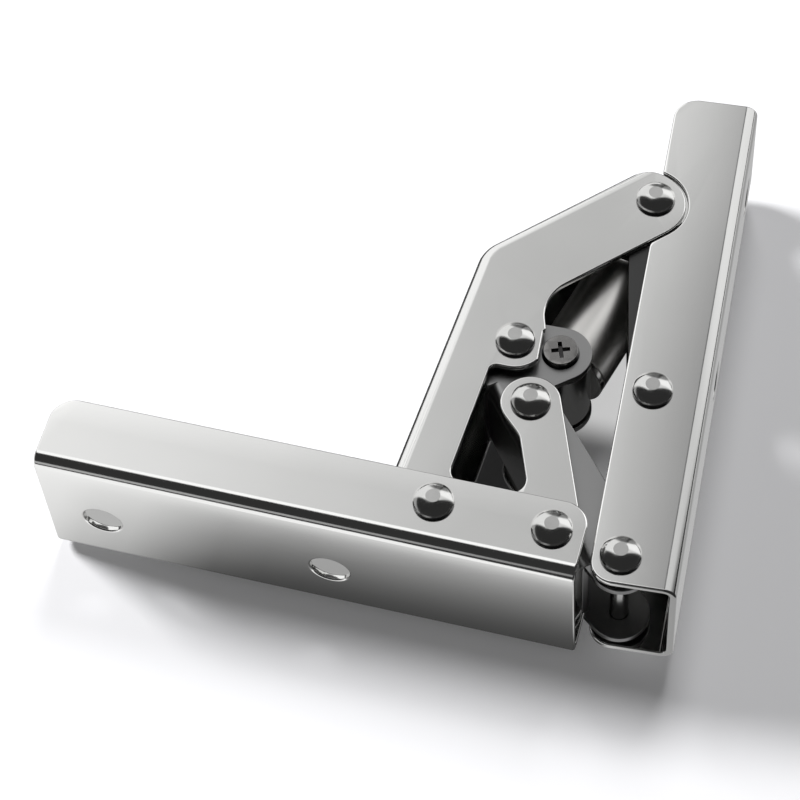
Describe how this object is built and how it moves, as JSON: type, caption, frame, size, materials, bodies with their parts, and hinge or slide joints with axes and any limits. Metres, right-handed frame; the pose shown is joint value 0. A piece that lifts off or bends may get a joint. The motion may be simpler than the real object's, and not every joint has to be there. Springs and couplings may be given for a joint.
{
  "type": "folding table bracket",
  "caption": "Folding table bracket: two pressed steel channels at a right angle, joined by crossing levers and a hydraulic strut, that opens out straight.",
  "frame": {"origin": "centre of the bounding box in X and Y, on the plane of the formed rivet ends that the bracket lies on", "axes": "+X along the fixed arm towards the hinge, +Y up along the folding arm in its upright locked position, +Z across the channels towards the domed rivet heads"},
  "size_m": [0.1412, 0.1322, 0.0409],
  "materials": {
    "arm_steel": "polished stainless sheet, bright pressed bends",
    "lever_steel": "polished stainless sheet",
    "link_steel": "darker satin sheet",
    "rivet_steel": "mirror-bright domed rivets",
    "washer_steel": "plain turned washers",
    "strut_steel": "satin drawn tube and turned ends",
    "rod_chrome": "ground and plated rod",
    "screw_steel": "grey zinc-plated screws and pin",
    "piston_brass": "turned",
    "seal_rubber": "matt"
  },
  "bodies": {
    "fixed_side": {"fixed_arm": "arm_steel", "rivet_lever_foot": "rivet_steel", "rivet_short_foot": "rivet_steel", "washers_lever_foot": "washer_steel", "washers_short_foot": "washer_steel"},
    "short_lever": {"short_lever_upper": "lever_steel", "short_lever_lower": "lever_steel", "rivet_short_neck": "rivet_steel", "washers_short_neck": "washer_steel"},
    "cross_side": {"cross_link": "link_steel", "strut_pin": "screw_steel", "strut_screws": "screw_steel"},
    "long_lever": {"main_lever": "lever_steel", "rivet_crossing": "rivet_steel", "washers_crossing": "washer_steel", "rivet_lever_end": "rivet_steel", "spacers_lever_end": "washer_steel"},
    "folding_side": {"folding_arm": "arm_steel", "rivet_arm_link": "rivet_steel", "rivet_arm_heel": "rivet_steel", "washers_arm_heel": "washer_steel"},
    "inner_link": {"inner_link_upper": "link_steel", "inner_link_lower": "link_steel"},
    "strut_body": {"strut_tube": "strut_steel", "strut_foot": "strut_steel", "strut_gland": "strut_steel", "strut_seal": "seal_rubber"},
    "strut_rod_body": {"strut_rod": "rod_chrome", "strut_eye": "strut_steel", "strut_piston": "piston_brass"}
  },
  "joints": [
    {"name": "fold", "type": "hinge", "parent": "fixed_side", "child": "short_lever", "pos_m": [0.04234, -0.05652, 0.01985], "axis": [0, 0, -1], "range_deg": [0, 93]},
    {"name": "cross_turn", "type": "hinge", "parent": "short_lever", "child": "cross_side", "pos_m": [0.02996, -0.02484, 0.01985], "axis": [0, 0, 1], "range_deg": [0, 133.41]},
    {"name": "lever_turn", "type": "hinge", "parent": "cross_side", "child": "long_lever", "pos_m": [0.02286, -0.01008, 0.01985], "axis": [0, 0, -1], "range_deg": [0, 101.24]},
    {"name": "arm_turn", "type": "hinge", "parent": "cross_side", "child": "folding_side", "pos_m": [0.05735, -0.05749, 0.01985], "axis": [0, 0, -1], "range_deg": [0, 134.12]},
    {"name": "link_turn", "type": "hinge", "parent": "folding_side", "child": "inner_link", "pos_m": [0.05505, -0.01597, 0.01985], "axis": [0, 0, 1], "range_deg": [0, 153.05]},
    {"name": "strut_turn", "type": "hinge", "parent": "cross_side", "child": "strut_body", "pos_m": [0.03289, -0.00904, 0.01985], "axis": [0, 0, -1], "range_deg": [0, 121.36]},
    {"name": "rod_slide", "type": "slide", "parent": "strut_body", "child": "strut_rod_body", "axis": [-0.2604, -0.9655, 0], "range_m": [0, 0.00235]}
  ],
  "couplings": [
    {"joint": "cross_turn", "follows": "fold", "ratio": 1.4334},
    {"joint": "lever_turn", "follows": "fold", "ratio": 1.0875},
    {"joint": "arm_turn", "follows": "fold", "ratio": 1.441},
    {"joint": "link_turn", "follows": "fold", "ratio": 1.6447},
    {"joint": "strut_turn", "follows": "fold", "ratio": 1.3038},
    {"joint": "rod_slide", "follows": "fold", "m_per_rad": 0.0014255}
  ]
}
